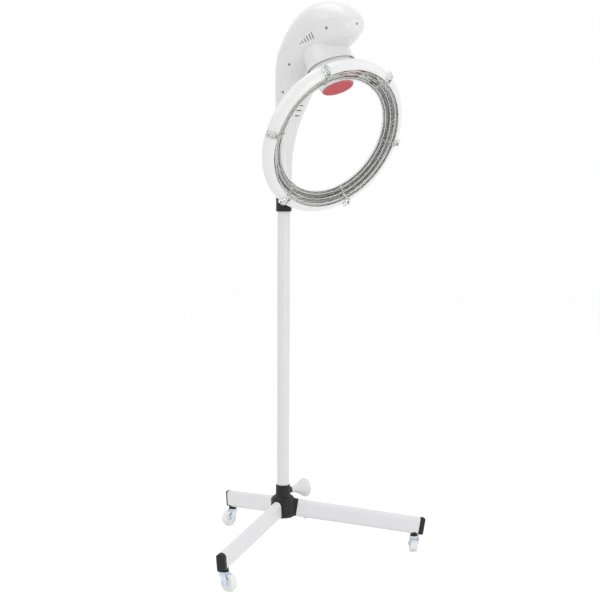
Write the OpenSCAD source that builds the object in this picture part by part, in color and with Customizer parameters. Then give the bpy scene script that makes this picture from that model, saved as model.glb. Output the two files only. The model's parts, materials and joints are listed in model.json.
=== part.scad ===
// Hood hair dryer on a wheeled stand: an orbiting ring of infrared tubes under a curved head.
// Millimetres, +Z up. The origin is on the floor, on the pole's axis, and the head reaches along -Y.

/* [Base] */
// Diameter of a caster wheel
wheel_d = 44; // [38:1:60]
// Width of a caster wheel
wheel_w = 21; // [16:1:26]
// Distance from a caster's swivel axis to its wheel's axle, seen from above
caster_trail = 15; // [12:0.5:22]
// Distance from the pole's axis to the end of a leg
leg_reach = 414; // [330:1:480]
// Height of the oval leg tube
leg_h = 52; // [42:1:60]
// Width of the oval leg tube
leg_w = 25; // [20:1:32]
// Wall of a leg tube
leg_wall = 1.5; // [1:0.1:3]
// Downward slope of the legs in degrees
leg_slope = 9.3; // [4:0.1:12]
// Angle between the right leg and the rear leg
rear_spread = 110.5; // [105:0.5:125]
// Angle between the right leg and the left leg
left_spread = 117.5; // [105:0.5:125]
// Angle from the head's reach to the right leg, seen from above
right_leg_turn = 49.7; // [40:0.1:70]
// Diameter of the hub's drum
hub_d = 70; // [60:1:84]

/* [Pole] */
// Outside diameter of the pole tubes
pole_d = 36; // [34:0.5:40]
// Wall of the pole tubes
pole_wall = 1.5; // [1:0.1:2.5]
// Height of the joint between the lower and the upper pole tube
pole_joint_z = 647; // [500:1:760]
// Height of the lower edge of the collar
collar_z = 996; // [900:1:1100]
// Height of the collar
collar_h = 40; // [30:1:60]
// Diameter of the collar
collar_d = 44.6; // [42:0.1:52]
// Diameter of the stem that carries the head
stem_d = 28; // [24:0.5:29]
// Outside diameter of the bush that the head turns on
bush_d = 32.4; // [31:0.1:33]
// Travel of the stem in the pole
stem_travel = 210; // [120:1:260]

/* [Head] */
// Height of the hub lens above the top of the collar
lens_rise = 301; // [280:1:340]
// Distance from the pole's axis to the middle of the hub lens
rotor_reach = 209.7; // [200:0.1:230]
// Tilt of the rotor axis from the vertical
rotor_tilt = 24.8; // [20:0.1:30]
// Wall of the head's mouldings
shell_wall = 2.8; // [2:0.1:4]
// Radius of the bell's rim
bell_r = 70; // [66:0.5:76]
// Distance from the hub lens up to the bell's rim
bell_rise = 62.3; // [55:0.1:70]
// Radius of the red lens
lens_r = 41; // [36:0.5:42]

/* [Ring] */
// Outside diameter of the ring's moulding
ring_d = 458; // [420:1:480]
// Width of the ring's moulding, measured towards its middle
ring_w = 62.4; // [54:0.1:70]
// Depth of the ring's moulding, front to back
ring_depth = 44; // [36:1:50]
// Wall of the ring's moulding
ring_wall = 2.2; // [1.6:0.1:3]
// Distance from the rotor axis to the ring's middle
ring_offset = 84.5; // [78:0.1:100]
// Distance from the hub lens down to the ring's middle
ring_drop = 107; // [100:0.1:118]
// Lean of the ring against the rotor axis
ring_lean = 39.8; // [36:0.1:44]
// Place of the ring on its orbit, turned from its resting point next to the pole
ring_phase = 10.7; // [-20:0.1:20]
// Diameter of an infrared tube
tube_d = 10; // [8:0.5:12]
// Number of guard wires
guard_n = 3; // [2:1:6]
// Diameter of a guard wire
guard_d = 2.2; // [1.6:0.1:3]

/* [Hidden] */
$fn = 64;

// Fits
running = 0.05;
slip = 0.2;
touch = 0.02;
far = 400;

// Base
leg_turn = [right_leg_turn - 90, right_leg_turn - 90 + rear_spread, right_leg_turn - 90 - left_spread];
trail_turn = [50, 179, -82];
cap_l = 16;
cap_round = 7;
caster_r = leg_reach - 29;
plate_z = wheel_d + 5.5;
plate_t = 3;
seat_t = 5;
leg_mid_caster = plate_z + seat_t + leg_h / 2 / cos(leg_slope);
leg_mid_z = leg_mid_caster + caster_r * tan(leg_slope);
leg_end = leg_reach / cos(leg_slope) - cap_l;
hub_face = hub_d / 2 + 5.5;
hub_bottom = leg_mid_z - leg_h / 2 - 6;
hub_top = leg_mid_z + leg_h / 2 + 2;
socket_d = pole_d + 6;
socket_top = hub_top + 34;
pole_foot = hub_bottom + 8;
bolt_at = 70;
clamp_turn = -8;
clamp_z = hub_top + 15;
fork_gap = wheel_w + 3;
fork_t = 1.6;
axle_d = 6;

// Pole
pole_in = pole_d - 2 * pole_wall;
collar_top = collar_z + collar_h;
collar_r = max(collar_d / 2, pole_d / 2 + running + 2.5);
pole_end = collar_top - 6;
sleeve_l = 110;
stem_foot_z = collar_z - stem_travel - 70;
stem_top = collar_top + 96;
stem_wall = 2;
stem_foot_l = 24;
bush_r = max(bush_d / 2, stem_d / 2 + 1.6);
socket_r = bush_r + touch + 1.5;

// Head. The rotor frame has its origin on the lens, with +Z up along the rotor axis.
lens_z = collar_top + lens_rise;
tail_z = collar_top + 1;
plate_up = 104;
gear_up = 112;
gear_w = 8;
gear_module = 1.5;
gear_teeth = 60;
pinion_teeth = 15;
gear_r = gear_module * gear_teeth / 2;
pinion_r = gear_module * pinion_teeth / 2;
gear_centres = gear_r + pinion_r;
shaft_r = 10;
shaft_top = 168;
hub_rim_r = bell_r - 6.5;
brush_post = bell_r - 20;

// Stations along the head's spine: reach, height above the collar, lean, half depth, half width
spine = [
    [0, 1, 0, 22, 22], [0, 54, 0, 21.5, 22], [-0.5, 104, 0, 21.3, 24.5], [3.5, 154, 3, 23.5, 30],
    [13.5, 209, 7, 28.5, 38], [30, 264, 12, 38, 49], [44, 319, 22, 47.5, 62], [61, 376, 40, 53, 71],
    [105, 427, 60, 64, 76], [151, 457, 78, 71, 78], [198, 464, 94, 68, 75], [235, 457, 109, 54, 63],
    [259, 449, 120, 35, 42], [271, 443, 124, 14, 17], [275, 441, 126, 3, 4]
];
// The parting line between the cover and the body: reach, height above the collar
parting = [
    [-14, -20], [-14, 90], [-13, 140], [-10, 190], [-4, 240], [6, 290], [18, 330], [33, 362], [52, 388], [75, 407],
    [100, 421], [125, 433], [160, 451], [193, 466], [219, 475], [247, 479], [275, 482], [320, 484]
];
spine_last = len(spine) - 1;
// How far the widest line of the head rises above its spine, as a share of the half depth
shoulder = 0.24;
shoulder_from = 6;
outer_steps = 3;
outer_n = 44;
inner_steps = 2;
inner_n = 22;

// Control panel on the upper back of the cover
panel_at = 7.75;
panel_w = 66;
panel_l = 46;
panel_h = 16;
button_d = 9;
button_h = 3.2;
button_x = [-22.5, -7.5, 7.5, 22.5];

// Ring. Its frame has +Z at the back, -Y at the hub and the ring's middle at the origin.
ring_r = ring_d / 2 - ring_w / 2;
rim_angle = -75;
edge_angle = 172;
arc_n = 18;
comb_first = -113;
tube_gap_middle = comb_first + 30;
tube_gap = 52;
outer_tube = [ring_r + 11, -4];
inner_tube = [ring_r - 8, 3];
guard_line = [ring_point(rim_angle, 2), ring_point(edge_angle, 2)];
clip_r = 235;

function mix(a, b, f) = a + (b - a) * f;
function smooth(a, b, c, d, f) = 0.5 * (2 * b + (c - a) * f + (2 * a - 5 * b + 4 * c - d) * f * f
    + (3 * b - a - 3 * c + d) * f * f * f);
function station(i) = spine[max(0, min(spine_last, i))];
function spine_at(u) = let (i = min(spine_last - 1, floor(u)), f = u - i)
    [for (k = [0:4]) smooth(station(i - 1)[k], station(i)[k], station(i + 1)[k], station(i + 2)[k], f)];
function power(x, p) = sign(x) * pow(abs(x), p);
// A point on the head's section at spine position u, with the section shrunk by inset
function head_point(u, a, inset) = let (s = spine_at(u), d = max(1, s[3] - inset), w = max(1, s[4] - inset),
    f = max(0, min(1, (u - shoulder_from) / 2.5)), lift = shoulder * f * d, below = sin(a) < 0,
    back = lift + (below ? d + lift : d - lift) * power(sin(a), 0.88 + (below ? 0.3 * f : 0.1 * f)),
    side = w * power(cos(a), 0.88 - (below ? 0.24 * f : 0.08 * f)))
    [side, -(s[0] - back * cos(s[2])), collar_top + s[1] + back * sin(s[2])];
function head_ring(u, n, inset) = [for (j = [0:n - 1]) head_point(u, 360 * j / n, inset)];
// A point on the head's centre plane, away from the spine by back
function spine_point(u, back) = let (s = spine_at(u))
    [s[0] - back * cos(s[2]), collar_top + s[1] + back * sin(s[2])];
function ring_point(a, inset) = [ring_r + (ring_w / 2 - inset) * cos(a), (ring_depth / 2 - inset) * sin(a)];

function band(p, q, n) = [for (j = [0:n - 1]) let (k = (j + 1) % n) each [[p + j, q + j, q + k], [p + j, q + k, p + k]]];
function flip(faces) = [for (f = faces) [f[0], f[2], f[1]]];

// Solid form of the head with its section shrunk by inset
module head_loft(inset) {
    n = inner_n;
    steps = inner_steps * (spine_last - 1);
    points = [for (i = [0:steps]) each head_ring(i / inner_steps, n, inset)];
    sides = [for (i = [0:steps - 1]) each band(i * n, (i + 1) * n, n)];
    ends = [[for (j = [0:n - 1]) j], [for (j = [n - 1:-1:0]) steps * n + j]];
    polyhedron(points, concat(sides, ends), convexity = 6);
}

// The head's moulded skin in one piece, open at the lower end of the tail
module head_skin() {
    outer = outer_steps * spine_last;
    inner = inner_steps * (spine_last - 1);
    first = (outer + 1) * outer_n;
    points = concat([for (i = [0:outer]) each head_ring(i / outer_steps, outer_n, 0)],
        [for (i = [0:inner]) each head_ring(i / inner_steps, inner_n, shell_wall)]);
    outside = [for (i = [0:outer - 1]) each band(i * outer_n, (i + 1) * outer_n, outer_n)];
    inside = [for (i = [0:inner - 1]) each band(first + i * inner_n, first + (i + 1) * inner_n, inner_n)];
    nose = [[for (j = [outer_n - 1:-1:0]) outer * outer_n + j], [for (j = [0:inner_n - 1]) first + inner * inner_n + j]];
    rim = [for (j = [0:inner_n - 1]) let (k = (j + 1) % inner_n, a = 2 * j, b = a + 1, c = (a + 2) % outer_n)
        each [[a, b, first + j], [b, first + k, first + j], [b, c, first + k]]];
    polyhedron(points, concat(outside, flip(inside), nose, rim), convexity = 8);
}

module at_leg(k) {
    rotate([0, 0, leg_turn[k]]) children();
}

module along_leg(k) {
    at_leg(k) translate([0, 0, leg_mid_z]) rotate([0, leg_slope, 0]) children();
}

module at_caster(k) {
    at_leg(k) translate([caster_r, 0, 0]) rotate([0, 0, trail_turn[k] - leg_turn[k]]) children();
}

module oval(h, w) {
    square([w, h - w], center = true);
    for (s = [-1, 1]) translate([0, s * (h - w) / 2]) circle(d = w);
}

module oval_bar(h, w, from, to) {
    translate([from, 0, 0]) rotate([90, 0, 90]) linear_extrude(to - from) oval(h, w);
}

module tube(outer_r, inner_r, z0, z1) {
    difference() {
        translate([0, 0, z0]) cylinder(r = outer_r, h = z1 - z0);
        translate([0, 0, z0 - 1]) cylinder(r = inner_r, h = z1 - z0 + 2);
    }
}

// Places a side-view shape, drawn as reach and height, in the head's centre plane
module side_plate(w) {
    rotate([90, 0, -90]) linear_extrude(w, center = true) children();
}

module at_rotor() {
    translate([0, -rotor_reach, lens_z]) rotate([-rotor_tilt, 0, 0]) children();
}

module at_ring() {
    at_rotor() rotate([0, 0, -ring_phase]) translate([0, ring_offset, -ring_drop]) rotate([-ring_lean, 0, 0])
        children();
}

module at_motor() {
    at_rotor() translate([0, gear_centres, 0]) children();
}

// The panel's frame has its origin on the cover's crown and +Z out of the panel
module at_panel() {
    s = spine_at(panel_at);
    p = spine_point(panel_at, s[3] - 2.2);
    translate([0, -p[0], p[1]]) rotate([s[2] - 90, 0, 0]) children();
}

// ---- Base ----

module leg_hub() {
    color("#222326") difference() {
        union() {
            rotate_extrude() polygon([[0, hub_bottom], [hub_d / 2 - 5, hub_bottom], [hub_d / 2, hub_bottom + 5],
                [hub_d / 2, hub_top - 8], [hub_d / 2 - 6, hub_top], [socket_d / 2 + 2, hub_top + 3],
                [socket_d / 2, hub_top + 8], [socket_d / 2, socket_top - 2], [socket_d / 2 - 1, socket_top],
                [0, socket_top]]);
            for (k = [0:2]) along_leg(k) {
                oval_bar(leg_h + 1, leg_w + 1, 0, hub_face);
                oval_bar(leg_h - 2 * leg_wall - slip, leg_w - 2 * leg_wall - slip, 0, hub_face + 62);
            }
            rotate([0, 0, clamp_turn]) translate([0, 0, clamp_z]) rotate([0, 90, 0])
                cylinder(d = 18, h = socket_d / 2 + 4);
        }
        translate([0, 0, pole_foot]) cylinder(r = pole_d / 2 + running, h = far);
        rotate([0, 0, clamp_turn]) translate([0, 0, clamp_z]) rotate([0, 90, 0])
            cylinder(r = 4 + running, h = far);
        for (k = [0:2]) along_leg(k) translate([bolt_at, 0, -leg_h]) cylinder(r = 3 + running, h = leg_h - 8);
    }
}

module leg(k) {
    color("#f1f0f3") difference() {
        along_leg(k) oval_bar(leg_h, leg_w, hub_face + touch, leg_end);
        along_leg(k) oval_bar(leg_h - 2 * leg_wall, leg_w - 2 * leg_wall, hub_face - 1, leg_end + 1);
        along_leg(k) translate([bolt_at, 0, -leg_h]) cylinder(r = 3.2, h = leg_h);
        at_leg(k) translate([caster_r, 0, plate_z]) cylinder(r = 5 + running, h = 20);
    }
}

module right_leg() {
    leg(0);
}

module left_leg() {
    leg(2);
}

module rear_leg() {
    leg(1);
}

// A tongue from x = 0 to l, w wide, with its far corners rounded
module bullnose(l, w) {
    translate([-1, -w / 2 + cap_round]) square([l + 1, w - 2 * cap_round]);
    translate([-1, -w / 2]) square([l + 1 - cap_round, w]);
    for (s = [-1, 1]) translate([l - cap_round, s * (w / 2 - cap_round)]) circle(r = cap_round);
}

module leg_caps() {
    color("#1f2022") for (k = [0:2]) along_leg(k) {
        intersection() {
            oval_bar(leg_h + 0.6, leg_w + 0.6, leg_end + touch, leg_end + cap_l);
            translate([leg_end, 0, 0]) rotate([90, 0, 0]) linear_extrude(leg_w + 4, center = true)
                bullnose(cap_l, leg_h + 0.6);
            translate([leg_end, 0, 0]) linear_extrude(leg_h + 4, center = true) bullnose(cap_l, leg_w + 0.6);
        }
        oval_bar(leg_h - 2 * leg_wall - slip, leg_w - 2 * leg_wall - slip, leg_end - 3, leg_end + 1);
    }
}

module leg_bolts() {
    color("#b9bdc2") for (k = [0:2]) along_leg(k) {
        translate([bolt_at, 0, -leg_h / 2 - 2.4]) cylinder(r1 = 4, r2 = 5.4, h = 2.4 - touch);
        translate([bolt_at, 0, -leg_h / 2 - 1]) cylinder(r = 3, h = 17);
    }
}

// Wedges that turn the sloping underside of a leg into a level seat
module caster_seats() {
    color("#2a2b2d") for (k = [0:2]) difference() {
        at_leg(k) translate([caster_r, 0, plate_z + touch]) cylinder(r = 11.4, h = 20);
        along_leg(k) oval_bar(leg_h, leg_w, caster_r - 60, caster_r + 60);
        along_leg(k) translate([caster_r - 60, -leg_w, 0]) cube([120, 2 * leg_w, leg_h]);
        along_leg(k) translate([leg_end, -leg_w, -leg_h]) cube([60, 2 * leg_w, 2 * leg_h]);
        at_leg(k) translate([caster_r, 0, 0]) cylinder(r = 5 + running, h = far);
    }
}

module caster_stems() {
    color("#c3cad4") for (k = [0:2]) at_caster(k) {
        translate([0, 0, plate_z - plate_t]) cylinder(r = 14, h = plate_t);
        translate([0, 0, plate_z - 1]) cylinder(r = 5, h = 26);
        translate([0, 0, plate_z - 5.2]) cylinder(r = 3, h = 5);
    }
}

module fork(k) {
    crown = plate_z - plate_t - 0.4;
    color("#b7c6d8") at_caster(k) difference() {
        union() {
            translate([0, 0, crown - 3]) cylinder(r = 13.5, h = 3);
            translate([-11, -fork_gap / 2 - fork_t, crown - 3]) cube([22, fork_gap + 2 * fork_t, fork_t]);
            for (s = [-1, 1]) translate([0, s * (fork_gap + fork_t) / 2, 0]) rotate([90, 0, 0])
                linear_extrude(fork_t, center = true) polygon([[-11, crown - 1.4], [11, crown - 1.4],
                    [caster_trail + 6.5, wheel_d / 2 + 3], [caster_trail + 5, wheel_d / 2 - 4.5],
                    [caster_trail, wheel_d / 2 - 6.5], [caster_trail - 5, wheel_d / 2 - 4.5]]);
        }
        translate([0, 0, crown - 8]) cylinder(r = 3 + running, h = 12);
        translate([caster_trail, 0, wheel_d / 2]) rotate([90, 0, 0])
            cylinder(r = axle_d / 2 + running, h = 60, center = true);
        translate([caster_trail, 0, wheel_d / 2]) rotate([90, 0, 0])
            cylinder(d = wheel_d + 2, h = fork_gap - 0.01, center = true);
    }
}

module right_fork() {
    fork(0);
}

module left_fork() {
    fork(2);
}

module rear_fork() {
    fork(1);
}

module axle(k) {
    color("#9aa3ad") at_caster(k) translate([caster_trail, 0, wheel_d / 2]) rotate([90, 0, 0]) {
        cylinder(d = axle_d, h = fork_gap + 2 * fork_t + 1, center = true);
        for (s = [-1, 1]) translate([0, 0, s * (fork_gap / 2 + fork_t + 0.9)]) cylinder(d = 9, h = 1.7, center = true);
    }
}

module right_axle() {
    axle(0);
}

module left_axle() {
    axle(2);
}

module rear_axle() {
    axle(1);
}

module wheel(k) {
    r = wheel_d / 2;
    w = wheel_w / 2;
    color("#eef2f6") at_caster(k) translate([caster_trail, 0, r]) rotate([90, 0, 0]) difference() {
        rotate_extrude() polygon([[0, -w - 0.8], [7, -w - 0.8], [8, -w + 3], [r - 7, -w + 3], [r - 5, -w], [r - 1.5, -w],
            [r, -w + 2], [r, w - 2], [r - 1.5, w], [r - 5, w], [r - 7, w - 3], [8, w - 3], [7, w + 0.8], [0, w + 0.8]]);
        cylinder(r = axle_d / 2 + running, h = far, center = true);
    }
}

module right_wheel() {
    wheel(0);
}

module left_wheel() {
    wheel(2);
}

module rear_wheel() {
    wheel(1);
}

// Flared hand knob that clamps the pole in the hub
module pole_clamp_knob() {
    color("#efeef0") rotate([0, 0, clamp_turn]) translate([socket_d / 2 + 7, 0, clamp_z]) rotate([0, 90, 0])
        difference() {
            rotate_extrude() polygon([[0, 0], [9, 0], [9.5, 4], [10, 12], [14, 24], [22, 38], [27, 46], [28, 52], [26.5, 55],
                [23, 55], [20, 48], [12, 36], [0, 34]]);
            translate([0, 0, -1]) cylinder(r = 4 + touch, h = 21);
            for (a = [0:60:300]) rotate([0, 0, a]) translate([33, 0, 40]) cylinder(r = 8, h = 30);
        }
}

module pole_clamp_stud() {
    color("#aeb3b8") rotate([0, 0, clamp_turn]) translate([pole_d / 2 + 0.1, 0, clamp_z]) rotate([0, 90, 0])
        cylinder(r = 4, h = 28);
}

// ---- Pole ----

module lower_pole() {
    color("#f3f3f4") tube(pole_d / 2, pole_in / 2, pole_foot + touch, pole_joint_z - touch);
}

module upper_pole() {
    color("#f3f3f4") difference() {
        tube(pole_d / 2, pole_in / 2, pole_joint_z + touch, pole_end);
        translate([0, 0, collar_z + 16]) rotate([0, 90, 46]) cylinder(r = 3.4, h = far);
    }
}

module pole_joint_sleeve() {
    color("#8f949a") tube(pole_in / 2 - running, pole_in / 2 - 2.5, pole_joint_z - sleeve_l / 2,
        pole_joint_z + sleeve_l / 2);
}

module pole_collar() {
    r = collar_r;
    color("#1e1f21") difference() {
        rotate_extrude() polygon([[stem_d / 2 + 0.6, collar_top - 5], [pole_d / 2 + running, collar_top - 5],
            [pole_d / 2 + running, collar_z], [r - 1.5, collar_z], [r, collar_z + 1.5], [r, collar_top - 2],
            [r - 2, collar_top], [stem_d / 2 + 0.6, collar_top]]);
        translate([0, 0, collar_z + 16]) rotate([0, 90, 46]) cylinder(r = 3 + running, h = far);
    }
}

module collar_bush() {
    color("#d9d6cc") difference() {
        union() {
            tube(pole_in / 2 - running, stem_d / 2 + running, collar_z - 44, pole_end + 1 - touch);
            tube(pole_d / 2 - 0.5, stem_d / 2 + running, pole_end + touch, pole_end + 1 - touch);
        }
        translate([0, 0, collar_z + 16]) rotate([0, 90, 46]) cylinder(r = 3.4, h = far);
    }
}

// Thumb knob that holds the stem at its height
module height_knob() {
    color("#26272a") translate([0, 0, collar_z + 16]) rotate([0, 90, 46]) {
        translate([0, 0, stem_d / 2 + 0.2]) cylinder(r = 3, h = collar_r - stem_d / 2 + 14);
        difference() {
            translate([0, 0, collar_r + 2]) cylinder(r = 14, h = 16);
            for (a = [0:45:315]) rotate([0, 0, a]) translate([15.5, 0, collar_r]) cylinder(r = 3.4, h = 30);
        }
    }
}

module head_stem() {
    color("#c9cdd2") tube(stem_d / 2, stem_d / 2 - stem_wall, stem_foot_z, stem_top);
}

module stem_foot() {
    color("#2b2c2f") difference() {
        translate([0, 0, stem_foot_z - 4]) cylinder(r = pole_in / 2 - 0.1, h = stem_foot_l);
        translate([0, 0, stem_foot_z - touch]) cylinder(r = stem_d / 2 + touch, h = far);
        translate([0, 0, stem_foot_z - 5]) cylinder(r = stem_d / 2 - stem_wall - 1, h = far);
    }
}

// Bush that the head turns on, with a top that rests on the stem's end
module swivel_bush() {
    color("#d9d6cc") {
        tube(bush_r, stem_d / 2 + running, tail_z + 5, stem_top + touch);
        tube(bush_r, stem_d / 2 - stem_wall - 3, stem_top + touch, stem_top + 2);
    }
}

// ---- Head ----

// Welded steel frame: a socket for the stem, a bent strip and the plate that carries the rotor
module chassis() {
    strip_w = 26;
    plate_w = 31;
    color("#9ea3a8") difference() {
        union() {
            tube(socket_r, bush_r + touch, tail_z + 5, stem_top + 2 + 2 * touch);
            translate([0, 0, stem_top + 2 + touch]) cylinder(r = socket_r, h = 4);
            translate([0, 0, collar_top]) side_plate(strip_w) polygon([[-3, 100], [7, 100], [19, 209], [36, 264],
                [54, 306], [101.7, 367.9], [90.8, 362.9], [47, 316], [28, 267], [11, 209]]);
            at_rotor() translate([0, 0, plate_up]) cylinder(r = 34, h = 4);
            at_rotor() translate([-plate_w / 2, 0, plate_up]) cube([plate_w, gear_centres + 27.5, 4]);
            at_rotor() translate([0, -8, plate_up]) cube([brush_post + 8, 16, 4]);
            at_motor() translate([-30, -10, plate_up]) cube([60, 22, 4]);
        }
        at_rotor() cylinder(r = 20 + running, h = far);
        at_motor() cylinder(r = 6, h = plate_up + 12);
        at_motor() for (s = [-1, 1]) translate([s * 24, 4, 0]) cylinder(r = 2.2, h = plate_up + 12);
    }
}

module bell(grow, from, to) {
    rotate_extrude() polygon([[0, from], [bell_r - 0.8 + grow, from], [bell_r + grow, from + 1.5],
        [bell_r - 2.6 + grow, bell_rise + 10], [bell_r - 4.2 + grow, bell_rise + 22], [bell_r - 4.6 + grow, bell_rise + 34],
        [bell_r - 4.8 + grow, bell_rise + 46], [bell_r - 6 + grow, bell_rise + 55], [bell_r - 9.5 + grow, bell_rise + 63],
        [bell_r - 15 + grow, bell_rise + 71], [bell_r - 22 + grow, to], [0, to]]);
}

module head_shell() {
    difference() {
        union() {
            head_skin();
            difference() {
                at_rotor() bell(0, bell_rise, bell_rise + 78);
                head_loft(shell_wall / 2);
            }
        }
        at_rotor() bell(-shell_wall, bell_rise - 1, bell_rise + 78.5);
    }
}

// The region of the side view that belongs to the cover, behind and above the parting line
module cover_region(gap) {
    last = len(parting) - 1;
    translate([0, 0, collar_top]) side_plate(far) polygon(concat(
        [for (i = [0:last]) parting[i] + gap * [-1, 1]], [[320, 620], [-120, 620], [-120, -20]]));
}

// Side screws: spine position and angle on the section
side_screws = [[5.6, -15], [7.14, -31.5], [10.78, -17]];
module at_screws() {
    for (u = side_screws) for (m = [0, 1]) mirror([m, 0, 0]) translate(head_point(u[0], u[1], 0))
        rotate([0, 90, 0]) children();
    translate(head_point(12.4, 89.5, 0)) rotate([72, 0, 0]) children();
}

module slot(l, w, h) {
    translate([-(l - w) / 2, -w / 2, 0]) cube([l - w, w, h]);
    for (s = [-1, 1]) translate([s * (l - w) / 2, 0, 0]) cylinder(d = w, h = h, $fn = 12);
}

// Vent slots on both flanks: spine position, angle on the section, length
head_vents = [[8.42, -32.5, 4], [8.62, -33.5, 8], [8.86, -34, 11.5], [9.1, -33.5, 14.5], [9.34, -32.7, 17], [9.56, -32, 19]];
tail_vents = [4.45, 4.73, 5.01];
module vents() {
    for (m = [0, 1]) mirror([m, 0, 0]) for (v = head_vents) {
        s = spine_at(v[0]);
        translate(head_point(v[0], v[1], 0)) rotate([s[2] - 8, 0, 0]) rotate([0, 90, 0]) translate([0, 0, -9])
            rotate([0, 0, 90]) slot(v[2], 3.6, 22);
    }
    for (u = tail_vents) translate(head_point(u, -90, 0)) rotate([116, 0, 0]) translate([0, 0, -8])
        slot(20, 3, 20);
}

module housing_cover() {
    color("#f4f4f5") difference() {
        intersection() {
            head_skin();
            cover_region(0.1);
        }
        at_panel() translate([0, 0, -panel_h - 30]) rounded_block(panel_w + 0.4, panel_l + 0.4, 90, 8);
        at_inlet() translate([0, 0, -15]) cube([inlet_w + 0.3, inlet_h + 0.3, 60], center = true);
        at_switch() translate([0, 0, -15]) rounded_block(switch_w + 0.4, switch_h + 0.4, 60, 2);
    }
}

module housing_body() {
    color("#e9eaec") difference() {
        head_shell();
        cover_region(0);
        vents();
        at_screws() translate([0, 0, -2]) cylinder(r = 3.6, h = 20, $fn = 24);
        at_screws() translate([0, 0, -20]) cylinder(r = 2, h = 30, $fn = 12);
    }
}

module rounded_block(w, l, h, r) {
    hull() for (x = [-1, 1]) for (y = [-1, 1]) translate([x * (w / 2 - r), y * (l / 2 - r), 0])
        cylinder(r = r, h = h, $fn = 24);
}

// Screws that hold the body on the frame and the cover
module housing_screws() {
    color("#55585c") at_screws() {
        translate([0, 0, -12]) cylinder(r = 1.9, h = 11);
        translate([0, 0, -2 + touch]) cylinder(r = 3.3, h = 1.6);
    }
}

inlet_w = 28;
inlet_h = 24;
switch_w = 22;
switch_h = 15;
module at_inlet() {
    s = spine_at(3.4);
    translate([0, -s[0] + s[3] + 0.5, collar_top + s[1]]) rotate([-90, 0, 0]) children();
}

module at_switch() {
    s = spine_at(4.1);
    translate([0, -s[0] + s[3] + 0.5, collar_top + s[1]]) rotate([-90 + s[2], 0, 0]) children();
}

module power_inlet() {
    color("#202124") at_inlet() difference() {
        union() {
            translate([0, 0, -11.5]) cube([inlet_w - 2, inlet_h - 2, 23], center = true);
            translate([0, 0, 0.5]) cube([inlet_w, inlet_h, 3], center = true);
        }
        translate([0, 0, -5]) cube([inlet_w - 5, inlet_h - 7, 18], center = true);
    }
}

module power_switch() {
    color("#1b1c1e") at_switch() {
        cube([switch_w - 3, switch_h - 3, 12], center = true);
    }
}

module rotor_bearing() {
    color("#b4b9be") at_rotor() {
        tube(20, shaft_r + running, plate_up - 14, gear_up - 0.1);
        tube(27, shaft_r + running, plate_up - 4, plate_up - touch);
    }
}

module gear_motor() {
    color("#8d9196") at_motor() {
        difference() {
            union() {
                translate([0, 0, gear_up + gear_w + 4]) cylinder(r = 18.5, h = 24);
                translate([0, 0, gear_up + gear_w + 28]) cylinder(r = 16, h = 30);
                for (s = [-1, 1]) translate([s * 24, 4, plate_up + 4 + touch])
                    cylinder(r = 3.5, h = gear_up + gear_w + 4 - plate_up);
                translate([-28, 0, gear_up + gear_w + 4]) cube([56, 9, 4]);
            }
            cylinder(r = 3 + running, h = gear_up + gear_w + 14);
        }
    }
}

// Half the angle that a tooth takes at the pitch circle, with a little backlash
module gear(teeth, w, bore) {
    r = gear_module * teeth / 2;
    difference() {
        union() {
            cylinder(r = r - 1.25 * gear_module, h = w);
            for (i = [0:teeth - 1]) rotate([0, 0, 360 * i / teeth]) linear_extrude(w)
                polygon([[r - 1.6 * gear_module, 1.25], [r - 0.2, 0.98], [r + 0.95 * gear_module, 0.42],
                    [r + 0.95 * gear_module, -0.42], [r - 0.2, -0.98], [r - 1.6 * gear_module, -1.25]]);
        }
        translate([0, 0, -1]) cylinder(r = bore, h = w + 2);
    }
}

module pinion() {
    color("#c8a24a") at_motor() {
        translate([0, 0, gear_up - 0.5]) rotate([0, 0, -90 + 180 / pinion_teeth]) gear(pinion_teeth, gear_w + 1, 2.9);
        translate([0, 0, gear_up - 2]) cylinder(r = 3, h = gear_w + 13);
    }
}

module drive_gear() {
    color("#e6e2d5") at_rotor() {
        translate([0, 0, gear_up]) rotate([0, 0, 90]) gear(gear_teeth, gear_w, shaft_r + touch);
        tube(17, shaft_r + touch, gear_up + gear_w - 1, gear_up + gear_w + 8);
    }
}

module rotor_shaft() {
    color("#c4c8cc") at_rotor() {
        tube(shaft_r, 6.5, 57, shaft_top);
        tube(24, 6.5, 58.6, 62);
    }
}

module slip_rings() {
    color("#c08a4a") at_rotor() for (i = [0:2]) tube(14, shaft_r + touch, 134 + 8 * i, 139 + 8 * i);
}

module brush_block() {
    color("#4a4237") at_rotor() {
        translate([14.3, -9, 132]) cube([14, 18, 30]);
        translate([brush_post, -6, plate_up + 4 + touch]) cube([6, 12, 56]);
        translate([28, -6, 154]) cube([brush_post - 27, 12, 6]);
    }
}

module control_board() {
    color("#2f6b4a") at_panel() {
        translate([-panel_w / 2 + 4, -panel_l / 2 + 4, -panel_h - 8]) cube([panel_w - 8, panel_l - 8, 1.6]);
        for (x = [-1, 1]) for (y = [-1, 1]) translate([x * (panel_w / 2 - 8), y * (panel_l / 2 - 8), -panel_h - 7])
            cylinder(r = 2.5, h = 7 - touch);
        translate([18, -12, -panel_h - 18]) cube([14, 20, 10.5]);
    }
}

module control_panel() {
    color("#3a3d42") at_panel() difference() {
        translate([0, 0, -panel_h]) rounded_block(panel_w, panel_l, panel_h + 1.5, 8);
        translate([-26, -1, -1]) cube([52, 17, 10]);
        for (x = button_x) translate([x, -13, -5]) cylinder(r = button_d / 2 + 0.2, h = 20);
    }
}

module display_window() {
    color("#5a1016") at_panel() translate([-25.95, -0.95, -1 + touch]) cube([51.9, 16.9, 2]);
}

module panel_button(i) {
    color("#d7d9dc") at_panel() translate([button_x[i], -13, -2.4]) {
        cylinder(r = button_d / 2, h = button_h + 1.8);
    }
}

module start_button() {
    panel_button(0);
}

module mode_button() {
    panel_button(1);
}

module plus_button() {
    panel_button(2);
}

module minus_button() {
    panel_button(3);
}

// ---- Rotor ----

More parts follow.
